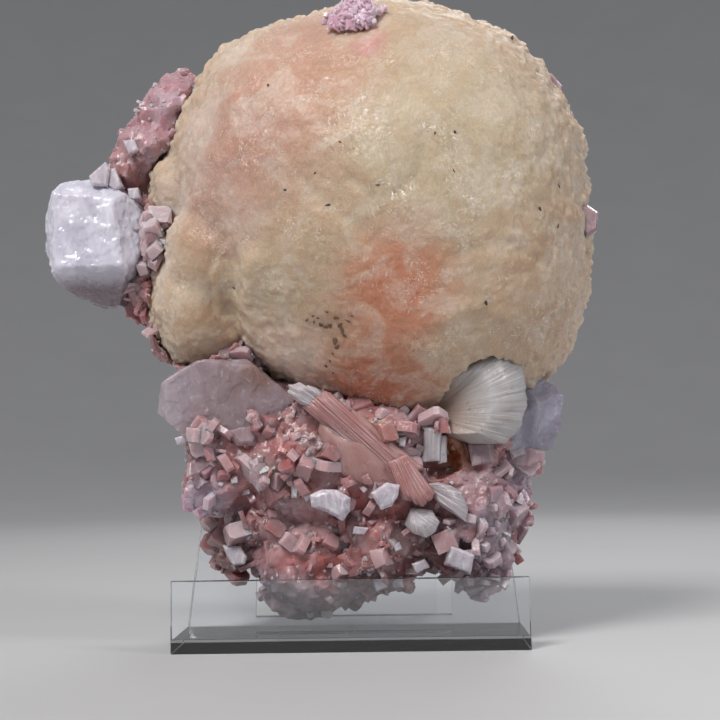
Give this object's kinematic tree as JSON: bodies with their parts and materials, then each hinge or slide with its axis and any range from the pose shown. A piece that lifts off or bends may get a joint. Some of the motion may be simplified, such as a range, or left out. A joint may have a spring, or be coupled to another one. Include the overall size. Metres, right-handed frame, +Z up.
{
  "type": "heulandite with stilbite specimen",
  "caption": "Cream stilbite ball on a pink heulandite crystal crust with larger tablets and fans, leaning on a small clear easel stand.",
  "frame": {"origin": "underside of the stand's shelf, in the middle of its width and 11 mm behind the lip's front face, on the table plane", "axes": "+X to the right seen from the front, +Y to the back, +Z up; the front of the specimen faces -Y"},
  "size_m": [0.0977, 0.0715, 0.1155],
  "materials": {
    "stilbite_cream": "satin",
    "stilbite_white": "satin",
    "stilbite_salmon": "satin",
    "heulandite_pink": "satin",
    "heulandite_lilac": "gloss",
    "clear_acrylic": "polished"
  },
  "bodies": {
    "root": {"acrylic_stand": "clear_acrylic", "heulandite_block": "heulandite_lilac", "heulandite_crust": "heulandite_pink", "heulandite_cube": "heulandite_lilac", "heulandite_cube_small": "heulandite_lilac", "heulandite_foot": "heulandite_lilac", "heulandite_left_crystal": "heulandite_lilac", "heulandite_lens": "heulandite_lilac", "heulandite_pentagon": "heulandite_lilac", "heulandite_plate": "heulandite_lilac", "heulandite_tuft": "heulandite_lilac", "stilbite_ball": "stilbite_cream", "stilbite_curved_blade": "stilbite_white", "stilbite_fan_small": "stilbite_white", "stilbite_sheaf": "stilbite_white", "stilbite_spray": "stilbite_salmon", "stilbite_upright_blade": "stilbite_white"}
  },
  "joints": []
}
